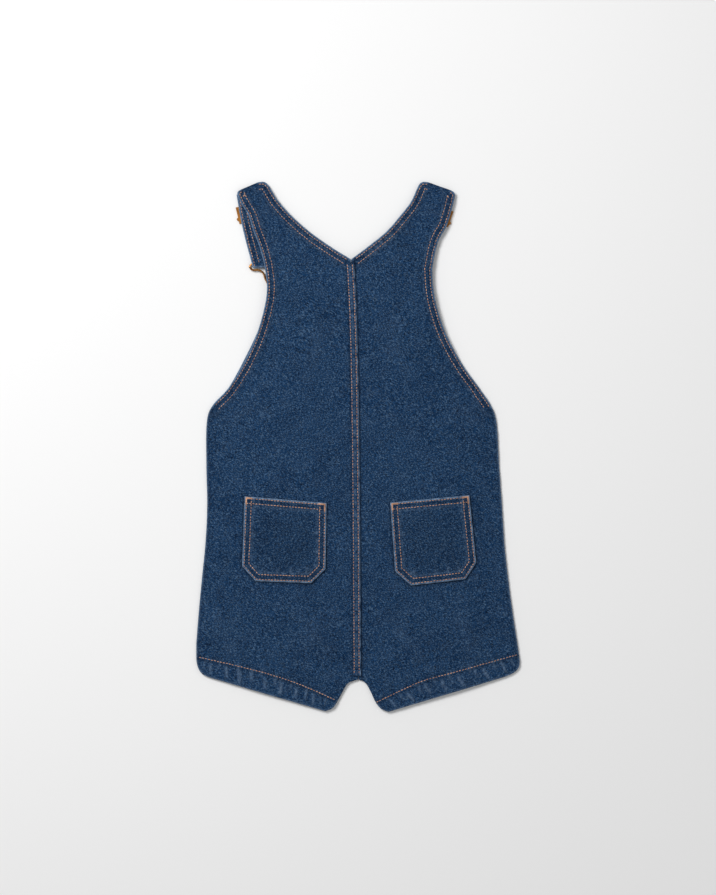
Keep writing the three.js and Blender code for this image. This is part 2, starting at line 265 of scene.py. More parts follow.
class Edge:
    """A line of points with lengths, and offsets towards the inside of its panel."""

    def __init__(self, points, inward):
        points = np.asarray(points, float)
        steps = np.linalg.norm(np.diff(points, axis=0), axis=1)
        keep = np.append(True, steps > 1e-6)
        self.points = points[keep]
        self.inward = inward
        steps = np.linalg.norm(np.diff(self.points, axis=0), axis=1)
        self.lengths = np.append(0, np.cumsum(steps))
        self.length = self.lengths[-1]

    def at(self, lengths):
        return np.stack([np.interp(lengths, self.lengths, self.points[:, k]) for k in (0, 1)], -1)

    def fine(self, step=0.7):
        lengths = np.linspace(0, self.length, max(2, int(self.length / step)))
        return lengths, self.at(lengths)

    def offset(self, depth):
        """The line moved inward by depth, one value or one for each point."""
        way = np.diff(self.points, axis=0)
        way /= np.linalg.norm(way, axis=1)[:, None]
        normals = np.stack([-way[:, 1], way[:, 0]], -1) * self.inward
        first = np.vstack([normals[:1], normals])
        last = np.vstack([normals, normals[-1:]])
        middle = first + last
        middle /= np.linalg.norm(middle, axis=1)[:, None]
        mitre = np.maximum((middle * first).sum(1), 0.5)
        shift = np.broadcast_to(np.asarray(depth, float), len(self.points)) / mitre
        return Edge(self.points + middle * shift[:, None], self.inward)

    def part(self, start, stop):
        lengths = np.linspace(start, stop, max(2, int((stop - start) / 1.5)))
        return Edge(self.at(lengths), self.inward)

    def spot(self, length):
        """The point at a length, and the way the line runs there."""
        back, here, on = self.at(np.array([length - 0.8, length, length + 0.8]))
        way = on - back
        return here, way / max(np.linalg.norm(way), 1e-6)

    def measure(self, x, y):
        """Distance to the line and length along it, for grids of points."""
        lengths, points = self.fine()
        flat = np.stack([x.ravel(), y.ravel()], -1)
        distance = np.empty(len(flat))
        nearest = np.empty(len(flat), int)
        for start in range(0, len(flat), 4000):
            gap = flat[start:start + 4000, None] - points[None]
            squares = (gap ** 2).sum(-1)
            nearest[start:start + 4000] = squares.argmin(1)
            distance[start:start + 4000] = np.sqrt(squares.min(1))
        return distance.reshape(x.shape), lengths[nearest].reshape(x.shape)


WANDER_WAVES = 6


def wander(seed, spread_mm):
    """A seeded uneven wave along a length: sums of sines, about -1 to 1."""
    rng = np.random.default_rng(seed)
    scales = spread_mm * rng.uniform(0.6, 1.9, WANDER_WAVES)
    phases = rng.uniform(0, 2 * np.pi, WANDER_WAVES)
    strengths = rng.uniform(0.5, 1, WANDER_WAVES)

    def wave(length):
        total = sum(strength * np.sin(2 * np.pi * length / scale + phase)
                    for scale, phase, strength in zip(scales, phases, strengths))
        return total / strengths.sum() * 1.6
    return wave


def patches(x, y, seed, size_mm):
    """Seeded soft hills over a surface, about -1 to 1."""
    rng = np.random.default_rng(seed)
    total = 0
    for _ in range(9):
        turn = rng.uniform(0, 2 * np.pi)
        scale = size_mm * rng.uniform(0.7, 1.6)
        total = total + np.sin((x * np.cos(turn) + y * np.sin(turn)) * 2 * np.pi / scale
                               + rng.uniform(0, 2 * np.pi))
    return total / 4.5


def crease(x, y, start, stop, width):
    """A soft ridge from start to stop that dies out at its ends, 0 to 1."""
    start, stop = np.asarray(start, float), np.asarray(stop, float)
    way = stop - start
    reach = np.linalg.norm(way)
    way = way / reach
    run = ((x - start[0]) * way[0] + (y - start[1]) * way[1]) / reach
    off = (x - start[0]) * -way[1] + (y - start[1]) * way[0]
    return bell(off, 0, width) * np.sqrt(np.clip(np.sin(np.pi * np.clip(run, 0, 1)), 0, 1))


# Cloth shells -----------------------------------------------------------------------------


def add_piece(name, verts, faces, material):
    """A new mesh, with its points in metres, that rides with the garment."""
    mesh = bpy.data.meshes.new(name)
    mesh.from_pydata(verts.tolist(), [], faces)
    mesh.update()
    mesh.shade_smooth()
    mesh.materials.append(material)
    piece = bpy.data.objects.new(name, mesh)
    bpy.context.collection.objects.link(piece)
    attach(piece, "root")
    return piece


def even_but_fine_at_edges(count, pull=0.72):
    share = np.linspace(0, 1, count)
    return share - pull * np.sin(2 * np.pi * share) / (2 * np.pi)


def shell(name, outer, inner, columns, form, material):
    """A closed wall of cloth. form(x, y, run) gives the lower and the upper height, the
    fade and the painted shade of every point."""
    share = even_but_fine_at_edges(columns)
    points = outer[:, None] + (inner - outer)[:, None] * share[None, :, None]
    x, y = points[..., 0], points[..., 1]
    run = np.broadcast_to(np.linspace(0, 1, len(outer))[:, None], x.shape)
    low, high, fade, painted_shade = form(x, y, run)
    rows, across = x.shape
    layer = rows * across
    flat = [np.stack([x, y, height], -1).reshape(-1, 3) for height in (low, high)]
    verts = np.vstack(flat) * MM
    spots = np.arange(layer).reshape(rows, across)
    a, b, c, d = spots[:-1, :-1], spots[:-1, 1:], spots[1:, 1:], spots[1:, :-1]
    top = np.stack([a, d, c, b], -1).reshape(-1, 4) + layer
    bottom = np.stack([a, b, c, d], -1).reshape(-1, 4)
    rim = np.concatenate([spots[0, :-1], spots[:-1, -1], spots[-1, :0:-1], spots[:0:-1, 0]])
    after = np.roll(rim, -1)
    walls = np.stack([rim, rim + layer, after + layer, after], -1)
    faces = np.vstack([top, bottom, walls])
    if outer[0, 0] > inner[0, 0]:
        faces = faces[:, ::-1]
    piece = add_piece(name, verts, faces.tolist(), material)
    # fade carries wear towards a paler blue; shade carries painted shade for the denim material to
    # darken
    for label, values in (("fade", fade), ("painted_shade", painted_shade)):
        both_faces = np.tile(np.clip(values, 0, 1).ravel(), 2).astype(np.float32)
        attribute = piece.data.attributes.new(label, "FLOAT", "POINT")
        attribute.data.foreach_set("value", both_faces)
    surface = BVHTree.FromPolygons(verts.tolist(), faces.tolist())
    down = points[1:, :-1] - points[:-1, :-1]
    inwards = points[:-1, 1:] - points[:-1, :-1]
    area = float(np.abs(np.cross(down, inwards)).sum()) * MM * MM
    return piece, surface, area


def rounded(distance, radius=0.9):
    """How far a wall falls away towards its folded edge, 0 inside to 1 on the edge."""
    share = np.clip(1 - distance / radius, 0, 1)
    return 1 - np.sqrt(1 - share ** 2 * 0.98)


# Materials --------------------------------------------------------------------------------


class Nodes:
    """Short calls for a node tree."""

    def __init__(self, material):
        material.use_nodes = True
        self.tree = material.node_tree
        self.shader = self.tree.nodes["Principled BSDF"]

    def add(self, kind, links=(), **settings):
        node = self.tree.nodes.new(kind)
        for name, value in settings.items():
            setattr(node, name, value)
        for socket, source in dict(links).items():
            target = node.inputs[socket]
            if isinstance(source, bpy.types.NodeSocket):
                self.tree.links.new(source, target)
            else:
                target.default_value = source
        return node

    def math(self, operation, first, second=0.5, clamp=False):
        return self.add("ShaderNodeMath", {0: first, 1: second}, operation=operation,
                        use_clamp=clamp).outputs[0]

    def mix(self, factor, first, second):
        return self.add("ShaderNodeMix", {0: factor, 6: first, 7: second},
                        data_type="RGBA").outputs[2]

    def noise(self, vector, scale, detail=2, roughness=0.5):
        return self.add("ShaderNodeTexNoise", {
            "Vector": vector, "Scale": scale, "Detail": detail, "Roughness": roughness},
        ).outputs["Fac"]

    def ramp(self, factor, low, high):
        return self.add("ShaderNodeMapRange", {
            "Value": factor, "From Min": low, "From Max": high}).outputs["Result"]

    def attribute(self, name):
        return self.add("ShaderNodeAttribute", attribute_name=name).outputs["Fac"]


def srgb(red, green, blue):
    def linear(value):
        value /= 255
        return value / 12.92 if value <= 0.04045 else ((value + 0.055) / 1.055) ** 2.4
    return (linear(red), linear(green), linear(blue), 1)


TWILL_PITCH = 0.0011


def denim(name, tone):
    """Indigo twill with pale slubs, worn light where fade is high, and darkened by painted shade
    where the painted shade attribute is high.
    """
    material = bpy.data.materials.new(name)
    nodes = Nodes(material)
    place = nodes.add("ShaderNodeTexCoord").outputs["Object"]
    turned = nodes.add("ShaderNodeMapping", {
        "Vector": place, "Rotation": (0, 0, math.radians(-58))}).outputs[0]
    across = nodes.add("ShaderNodeSeparateXYZ", {0: turned}).outputs[0]
    wobble = nodes.noise(place, 220, 2)
    phase = nodes.math("ADD", nodes.math("MULTIPLY", across, 2 * math.pi / TWILL_PITCH),
                       nodes.math("MULTIPLY", wobble, 7.0))
    twill = nodes.ramp(nodes.math("SINE", phase), -1, 1)
    stretched = nodes.add("ShaderNodeMapping", {
        "Vector": turned, "Scale": (1, 0.45, 1)}).outputs[0]
    slub = nodes.noise(stretched, 1150, 3, 0.62)
    fleck = nodes.ramp(nodes.noise(stretched, 1250, 2, 0.7), 0.5, 0.7)
    cloud = nodes.noise(place, 40, 4, 0.6)
    blotch = nodes.noise(place, 190, 3, 0.6)
    dark = srgb(1, 8, 26)
    middle = srgb(18 * tone, 55 * tone, 93 * tone)
    light = srgb(108, 140, 172)
    speck = nodes.ramp(nodes.noise(place, 980, 2, 0.7), 0.42, 0.58)
    weave = nodes.math("ADD", nodes.math("MULTIPLY", nodes.ramp(slub, 0.32, 0.68), 0.4),
                       nodes.math("ADD", nodes.math("MULTIPLY", twill, 0.22),
                                  nodes.math("MULTIPLY", speck, 0.38)))
    colour = nodes.mix(nodes.ramp(weave, 0.2, 0.72), dark, middle)
    colour = nodes.mix(nodes.math("MULTIPLY", fleck, 0.5), colour, light)
    hill = nodes.math("ADD", nodes.math("MULTIPLY", cloud, 0.6),
                      nodes.math("MULTIPLY", blotch, 0.4))
    colour = nodes.mix(nodes.math("MULTIPLY", nodes.ramp(hill, 0.46, 0.7), 0.12), colour,
                       srgb(50, 78, 110))
    colour = nodes.mix(nodes.math("MULTIPLY", nodes.ramp(hill, 0.52, 0.34), 0.25), colour,
                       srgb(7, 22, 46))
    grain = nodes.ramp(nodes.noise(place, 700, 3, 0.65), 0.34, 0.62)
    worn = nodes.math("MULTIPLY", nodes.attribute("fade"),
                      nodes.math("ADD", nodes.math("MULTIPLY", grain, 0.75), 0.3), True)
    colour = nodes.mix(worn, colour, srgb(122, 146, 174))
    # Painted shade: this attribute darkens the denim towards near-black indigo in grooves, between
    # stitch rows and beside raised edges
    painted_shade_amount = nodes.math("MULTIPLY", nodes.attribute("painted_shade"), 0.8, True)
    colour = nodes.mix(painted_shade_amount, colour, srgb(3, 11, 28))
    nodes.tree.links.new(colour, nodes.shader.inputs["Base Color"])
    relief = nodes.math("ADD", nodes.math("MULTIPLY", twill, 0.5),
                        nodes.math("MULTIPLY", slub, 0.9))
    bump = nodes.add("ShaderNodeBump", {"Strength": 0.55, "Distance": 0.0004, "Height": relief})
    nodes.tree.links.new(bump.outputs[0], nodes.shader.inputs["Normal"])
    nodes.shader.inputs["Roughness"].default_value = 0.88
    nodes.shader.inputs["Sheen Weight"].default_value = 0.05
    nodes.shader.inputs["Sheen Roughness"].default_value = 0.4
    nodes.shader.inputs["Specular IOR Level"].default_value = 0.08
    return material


def thread():
    """Tan cotton-wrapped thread, twisted and a little uneven."""
    material = bpy.data.materials.new("topstitching_thread")
    nodes = Nodes(material)
    place = nodes.add("ShaderNodeTexCoord").outputs["Object"]
    uneven = nodes.noise(place, 160, 2)
    fibre = nodes.noise(place, 2600, 2)
    colour = nodes.mix(nodes.ramp(uneven, 0.35, 0.65), srgb(150, 110, 86), srgb(212, 164, 132))
    colour = nodes.mix(nodes.math("MULTIPLY", nodes.ramp(fibre, 0.4, 0.7), 0.3), colour,
                       srgb(92, 66, 54))
    nodes.tree.links.new(colour, nodes.shader.inputs["Base Color"])
    bump = nodes.add("ShaderNodeBump", {"Strength": 0.4, "Distance": 0.0002, "Height": fibre})
    nodes.tree.links.new(bump.outputs[0], nodes.shader.inputs["Normal"])
    nodes.shader.inputs["Roughness"].default_value = 0.75
    nodes.shader.inputs["Sheen Weight"].default_value = 0.2
    return material


def brass():
    """Warm brass, rubbed and slightly tarnished."""
    material = bpy.data.materials.new("rubbed_brass")
    nodes = Nodes(material)
    place = nodes.add("ShaderNodeTexCoord").outputs["Object"]
    tarnish = nodes.noise(place, 300, 4, 0.6)
    scratch = nodes.noise(place, 1800, 2)
    colour = nodes.mix(nodes.ramp(tarnish, 0.4, 0.7), srgb(176, 122, 64), srgb(112, 72, 34))
    nodes.tree.links.new(colour, nodes.shader.inputs["Base Color"])
    rough = nodes.math("ADD", nodes.math("MULTIPLY", tarnish, 0.35), 0.16)
    nodes.tree.links.new(rough, nodes.shader.inputs["Roughness"])
    bump = nodes.add("ShaderNodeBump", {"Strength": 0.15, "Distance": 0.0001, "Height": scratch})
    nodes.tree.links.new(bump.outputs[0], nodes.shader.inputs["Normal"])
    nodes.shader.inputs["Metallic"].default_value = 1
    return material


BODY_DENIM = denim("indigo_denim", 1.0)
POCKET_DENIM = denim("indigo_denim_pocket", 0.94)
THREAD = thread()
BRASS = brass()

# Stitches ---------------------------------------------------------------------------------

STITCH_PITCH = 2.85
STITCH_LENGTH = 2.25
THREAD_RADIUS = 0.36
STITCH_SIDES = 6
TACK_PITCH = 0.42
TACK_RADIUS = 0.33


def stitch_shape(length, radius):
    """One stitch along X: a short thread that dives into the cloth at both ends."""
    stations = np.array([-1, -0.8, -0.35, 0.35, 0.8, 1])
    turns = np.linspace(0, 2 * np.pi, STITCH_SIDES, endpoint=False)
    rings = []
    for station in stations:
        thick = radius * (1 - 0.5 * station ** 6)
        lift = -radius * 1.5 * abs(station) ** 3
        rings.append(np.stack([np.full(STITCH_SIDES, station * length / 2),
                               thick * np.cos(turns), lift + thick * 0.85 * np.sin(turns)], -1))
    verts = np.vstack(rings)
    faces = []
    for ring in range(len(stations) - 1):
        for k in range(STITCH_SIDES):
            a, b = ring * STITCH_SIDES + k, ring * STITCH_SIDES + (k + 1) % STITCH_SIDES
            faces.append((a, a + STITCH_SIDES, b + STITCH_SIDES, b))
    faces.append(tuple(range(STITCH_SIDES)))
    faces.append(tuple(range(len(verts) - 1, len(verts) - 1 - STITCH_SIDES, -1)))
    return verts, faces


class Stitching:
    """Stitches gathered on one surface and joined into one mesh."""

    def __init__(self, name, surface, seed, down=True):
        self.name, self.surface, self.down = name, surface, down
        self.rng = np.random.default_rng(seed)
        self.verts, self.faces, self.count = [], [], 0

    def level(self, point):
        start, way = (0.05, -1) if self.down else (-0.02, 1)
        hit = self.surface.ray_cast(Vector((point[0] * MM, point[1] * MM, start)),
                                    Vector((0, 0, way)))
        return None if hit[0] is None else hit[0][2] / MM

    def place(self, middle, way, length, radius, lift=0.1):
        half = way * length / 2
        heights = [self.level(middle + half * k) for k in (-1, 0, 1)]
        if None in heights:
            return
        verts, faces = stitch_shape(length, radius)
        side = np.array([-way[1], way[0]])
        up = 1 if self.down else -1
        slope = (heights[2] - heights[0]) / length
        flat = verts[:, :1] * way + verts[:, 1:2] * side * up + middle
        height = heights[1] + verts[:, 0] * slope + up * (verts[:, 2] + lift)
        self.verts.append(np.column_stack([flat, height]))
        self.faces += [tuple(index + self.count for index in face) for face in faces]
        self.count += len(verts)

    def row(self, edge):
        """A row of stitches along a line, each a little uneven."""
        for at in np.arange(STITCH_PITCH / 2, edge.length - STITCH_PITCH / 3, STITCH_PITCH):
            at = at + self.rng.uniform(-0.12, 0.12)
            ends = edge.at(np.array([at - 0.6, at + 0.6]))
            way = ends[1] - ends[0]
            way = way / max(np.linalg.norm(way), 1e-6)
            turn = self.rng.normal(0, 0.05)
            way = np.array([way[0] - turn * way[1], way[1] + turn * way[0]])
            side = np.array([-way[1], way[0]]) * self.rng.normal(0, 0.09)
            self.place(edge.at(np.array([at]))[0] + side, way,
                       STITCH_LENGTH * self.rng.uniform(0.9, 1.1),
                       THREAD_RADIUS * self.rng.uniform(0.88, 1.12))

    def bar_tack(self, start, stop, width=1.9):
        """A dense zigzag of thread from start to stop."""
        start, stop = np.asarray(start, float), np.asarray(stop, float)
        reach = np.linalg.norm(stop - start)
        way = (stop - start) / reach
        side = np.array([-way[1], way[0]])
        for k, at in enumerate(np.arange(0, reach, TACK_PITCH)):
            lean = side + way * (0.22 if k % 2 else -0.22)
            self.place(start + way * at, lean / np.linalg.norm(lean),
                       width * self.rng.uniform(0.88, 1.12), TACK_RADIUS, 0.22)

    def finish(self):
        add_piece(self.name, np.vstack(self.verts) * MM, self.faces, THREAD)


# Back panels ------------------------------------------------------------------------------

EDGE_ROWS = (2.3, 6.9)         # twin-needle rows in from a turned edge
POCKET_ROWS = (1.7, 6.3)
SEAM_ROWS = (-3.7, 0.8)        # rows on the felled seam, from its seam line
# The leg hem's stitch line, from the side seam to the inseam
HEM_LINE = {
    LEFT: [(-151.6, -196.0), (-96.0, -208.7), (-55.5, -221.4), (-18.4, -237.8)],
    RIGHT: [(151.4, -193.6), (88.8, -210.8), (56.9, -220.0), (16.4, -239.0)],
}

# Puckers across a leg hem's stitch line: place along it, start and stop beside it (minus is
# towards the edge), lean, height, width
HEM_PUCKERS = {
    LEFT: [(9, -9, -1, 1, 0.4, 0.8), (17, -13, -2, -2, 0.7, 0.9), (23, -7, 3, 1, 0.5, 0.8),
           (33, -14, -1, -3, 0.8, 1.0), (41, -6, 4, 1, 0.5, 0.8), (46, -16, -2, -4, 0.9, 1.1),
           (56, -12, 2, -2, 0.6, 0.9), (63, -5, 6, 2, 0.5, 0.8), (70, -15, -3, -3, 0.8, 1.0),
           (78, -9, 3, -1, 0.5, 0.8), (86, -16, -1, -3, 0.9, 1.1), (93, -7, 2, 2, 0.5, 0.8),
           (102, -14, -2, -4, 0.8, 1.0), (111, -12, 1, -3, 0.7, 0.9), (120, -14, -2, -4, 0.7, 1.0),
           (130, -9, -1, -2, 0.5, 0.8)],
    RIGHT: [(8, -10, -1, 2, 0.5, 0.8), (17, -14, 1, 3, 0.7, 1.0), (27, -8, 3, -1, 0.5, 0.8),
            (34, -15, -2, 4, 0.9, 1.0), (44, -11, 2, 2, 0.6, 0.9), (50, -5, 5, -2, 0.5, 0.8),
            (58, -16, -3, 4, 0.9, 1.1), (68, -10, 2, 2, 0.6, 0.9), (75, -15, -2, 3, 0.8, 1.0),
            (84, -6, 4, -1, 0.5, 0.8), (91, -14, -2, 3, 0.8, 1.0), (99, -12, 1, 2, 0.6, 0.9),
            (109, -15, -3, 4, 0.9, 1.0), (118, -9, 2, 2, 0.5, 0.8), (127, -13, -2, 3, 0.7, 1.0)],
}
# Ripples that run in from the neckline, in the same columns
NECK_RIPPLES = {
    LEFT: [(30, 1, 8, 2, 0.25, 1.1), (52, 1, 9, 2, 0.3, 1.1), (64, 2, 8, 3, 0.3, 1.0),
           (75, 1, 10, 2, 0.4, 1.1), (84, 1, 9, 3, 0.35, 1.1), (91, 1, 8, 2, 0.35, 1.0)],
    RIGHT: [(36, 1, 9, -2, 0.3, 1.1), (50, 1, 10, -2, 0.4, 1.1), (56, 2, 9, -3, 0.4, 1.0),
            (62, 1, 11, -2, 0.5, 1.1), (68, 1, 10, -3, 0.45, 1.0), (74, 1, 11, -3, 0.55, 1.1),
            (80, 1, 10, -2, 0.5, 1.1), (86, 2, 11, -3, 0.55, 1.1), (92, 1, 9, -2, 0.45, 1.0)],
}
# Puckers inside a pocket's inner row, along its outline from the mouth's outer end
POCKET_PUCKERS = {
    LEFT: [(12, 7, 12, 0, 0.3, 0.8), (34, 7, 11, 0, 0.3, 0.8), (92, 7, 12, 1, 0.3, 0.8),
           (104, 7, 14, 1, 0.4, 0.8), (116, 7, 15, 1, 0.5, 0.8), (123, 7, 13, 1, 0.4, 0.7),
           (131, 7, 16, 0, 0.5, 0.8), (150, 7, 12, 0, 0.35, 0.8), (170, 7, 11, 0, 0.35, 0.8),
           (188, 7, 12, 0, 0.35, 0.8)],
    RIGHT: [(14, 7, 12, 0, 0.3, 0.8), (38, 7, 11, 0, 0.3, 0.8), (86, 7, 13, 1, 0.4, 0.8),
            (97, 7, 14, 0, 0.4, 0.8), (109, 7, 12, 0, 0.35, 0.8), (128, 7, 14, 0, 0.4, 0.8),
            (140, 7, 13, 0, 0.4, 0.7), (164, 7, 11, 0, 0.3, 0.8), (186, 7, 12, 0, 0.35, 0.8)],
}
# Long soft creases over a back panel: start x, y, stop x, y, height, width
CREASES = {
    LEFT: [(-100, 205, -78, 228, 0.5, 4), (-128, 20, -88, 44, 0.6, 6), (-60, -150, -28, -195, 0.8, 7),
           (-20, -150, -70, -210, 0.5, 6), (-135, -150, -112, -205, 0.6, 7),
           (-50, 60, -30, 120, 0.4, 8)],
    RIGHT: [(62, 224, 88, 206, 0.7, 3.5), (118, 22, 84, 40, 0.6, 6), (24, -152, 60, -200, 0.8, 7),
            (92, -150, 112, -208, 0.6, 7), (40, 70, 24, 130, 0.4, 8)],
}


def panel_edges(side):
    cut = BACK[side]
    seat = section(on_seam(cut["seat"], side), SEAT_STEPS)
    strap = section(cut["strap"], STRAP_STEPS)
    leg = section(cut["leg"], LEG_STEPS)
    outer, inner = chain(strap, seat, leg)
    underarm = len(strap[0]) - 1 + UNDERARM_ROW * SEAT_STEPS
    side_end = len(strap[0]) - 1 + len(seat[0]) - 1 + 2 * LEG_STEPS
    return outer, inner, {
        "fold": Edge([outer[0], inner[0]], -side),
        "armhole": Edge(outer[:underarm + 1], side),
        "side": Edge(outer[underarm:side_end], side),
        "neckline": Edge(strap[1], -side),
        "centre": Edge(seat[1], -side),
        "inseam": Edge(leg[1][:30], -side),
        "hem": Edge(np.vstack([outer[side_end:], inner[::-1][:22]]), side),
    }


def above_hem_line(side, x, y):
    """Height of points above the hem's stitch line, square to the hem."""
    line = spline(HEM_LINE[side], HEM_STEPS)
    line = line[np.argsort(line[:, 0])]
    return (y - np.interp(x, line[:, 0], line[:, 1])) * 0.955


def pocket_outline(side):
    top, corner, bottom = POCKET[side]
    return Edge([top[:2], corner[:2], bottom[:2], bottom[2:], corner[2:], top[2:]], side)


def ripples(line, table, x, y):
    """Short ridges across a line: place along it, start and stop beside it, lean, height, width."""
    height = 0 * x
    for at, begin, reach, lean, rise, width in table:
        foot, way = line.spot(at)
        inward = np.array([-way[1], way[0]]) * line.inward
        start, stop = foot + inward * begin, foot + inward * reach + way * lean
        height = height + rise * crease(x, y, start, stop, width)
    return height


def back_form(side, edges):
    """Relief, wear and painted shade of a back panel."""
    outline = pocket_outline(side)
    hem_line = Edge(spline(HEM_LINE[side], HEM_STEPS), side)

    def form(x, y, run):
        low = back_underside(x, y)
        distance = {name: edge.measure(x, y) for name, edge in edges.items()}
        rim = np.minimum.reduce([off for off, _ in distance.values()])
        relief = -1.05 * rounded(rim) + 0.35 * patches(x, y, 11 + side, 70)
        relief = relief + 0.12 * patches(x, y, 31 + side, 22)
        fade = 0.03 * np.clip(patches(x, y, 21 + side, 18), 0, 1)
        painted_shade = 0 * x
        for seed, name in ((3, "armhole"), (5, "neckline")):
            off, length = distance[name]
            waver = wander(seed * 7 + side, 7)(length)
            band = smooth(off, 0, 1) * (1 - smooth(off, 8.2, 9.6))
            relief = relief + 0.4 * band + 0.16 * waver * bell(off, 4.6, 3.4)
            fade = fade + (0.7 + 0.25 * waver) * bell(off, 0.2, 0.95)
            fade = fade + (0.1 + 0.16 * waver) * bell(off, 8.6, 0.8)
            # Painted shade between the twin rows and in the hollow inside the raised band
            painted_shade = painted_shade + 0.25 * bell(off, 4.6, 1.7) + 0.22 * bell(off, 10.2, 1.0)
            for row in EDGE_ROWS:
                relief = relief - 0.26 * bell(off, row, 0.6)
                # Painted shade in the groove beside each stitch row
                painted_shade = painted_shade + 0.35 * bell(off, row + 1.0, 0.6)
        off, length = distance["hem"]
        above = above_hem_line(side, x, y)
        waver = wander(17 + side, 11)(length)
        relief = relief + 0.45 * (1 - smooth(above, -0.4, 1.6))
        relief = relief + 0.2 * waver * bell(above, -7, 6) - 0.34 * bell(above, 0, 0.8)
        fade = fade + (0.35 + 0.25 * waver) * bell(off, 0.2, 1.0)
        # Painted shade in the grooves on both sides of the hem's stitch line
        painted_shade = painted_shade + 0.55 * bell(above, -1.6, 0.9) + 0.3 * bell(above, 1.6, 0.8)
        for table, line, strength in ((HEM_PUCKERS[side], hem_line, 0.6),
                                      (NECK_RIPPLES[side], edges["neckline"], 0.6)):
            height = ripples(line, table, x, y)
            relief = relief + height
            fade = fade + strength * height
        for x0, y0, x1, y1, rise, width in CREASES[side]:
            ridge = crease(x, y, (x0, y0), (x1, y1), width)
            relief = relief + rise * ridge
            fade = fade + 0.03 * ridge
        off, _ = distance["side"]
        fade = fade + 0.35 * bell(off, 0.3, 1.0)
        # Painted shade just inside the side seam's edge
        painted_shade = painted_shade + 0.25 * bell(off, 2.2, 1.2)
        # Painted shadow of the pocket's edge on the panel round it
        off, _ = outline.measure(x, y)
        painted_shade = painted_shade + 0.7 * bell(off, 0.3, 1.5)
        # Painted shadow beside both edges of the felled seam
        from_seam = x - seam_x(y)
        painted_shade = painted_shade + 0.75 * bell(from_seam, FELL_RIGHT + 0.7, 0.9)
        painted_shade = painted_shade + 0.4 * bell(from_seam, -FELL_LEFT - 0.6, 0.8)
        return low, np.maximum(low + CLOTH + relief, low + 0.15), fade, painted_shade
    return form


def add_back(side, word):
    outer, inner, edges = panel_edges(side)
    name = f"back_{word}"
    piece, surface, area = shell(f"{name}_cloth", outer, inner, BACK_COLUMNS,
                                 back_form(side, edges), BODY_DENIM)
    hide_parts(name)
    sewing = Stitching(f"{name}_stitches", surface, 40 + side)
    for depth in EDGE_ROWS:
        sewing.row(edges["armhole"].offset(depth))
        neck = edges["neckline"].offset(depth)
        sewing.row(neck.part(0, neck.length - 1.5))
    sewing.row(Edge(spline(HEM_LINE[side], HEM_STEPS), side))
    sewing.finish()


# Felled seam and pockets ------------------------------------------------------------------


def add_felled_seam():
    ys = np.linspace(170, -214, 240)
    outer = np.stack([seam_x(ys) - FELL_LEFT, ys], -1)
    inner = np.stack([seam_x(ys) + FELL_RIGHT, ys], -1)
    waver, jitter = wander(61, 9), wander(62, 6)

    def form(x, y, run):
        low = back_underside(x, y) + CLOTH + GAP
        off = x - seam_x(y)
        edge = np.minimum(off + FELL_LEFT, FELL_RIGHT - off)
        relief = -0.95 * rounded(edge, 1.2) + 0.14 * jitter(y)
        painted_shade, fade = 0 * x, 0 * x
        for row in SEAM_ROWS:
            relief = relief - 0.25 * bell(off, row, 0.55)
        relief = relief + 0.25 * bell(off, (SEAM_ROWS[0] + SEAM_ROWS[1]) / 2, 1.6)
        fade = fade + (0.5 + 0.5 * waver(y)) * bell(off, FELL_RIGHT - 0.5, 0.8)
        fade = fade + (0.12 + 0.2 * jitter(y)) * bell(off, -1.5, 1.2)
        # Painted shade in the groove beside the right-hand stitch row
        painted_shade = painted_shade + 0.3 * bell(off, SEAM_ROWS[1] + 0.9, 0.5)
        return low, low + CLOTH + relief, fade, painted_shade
    piece, surface, _ = shell("centre_back_seam_fell", outer, inner, SEAM_COLUMNS, form,
                              BODY_DENIM)
    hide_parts("centre_back_seam")
    sewing = Stitching("centre_back_seam_stitches", surface, 63)
    for row in SEAM_ROWS:
        sewing.row(Edge(np.stack([seam_x(ys) + row, ys], -1), LEFT))
    sewing.finish()


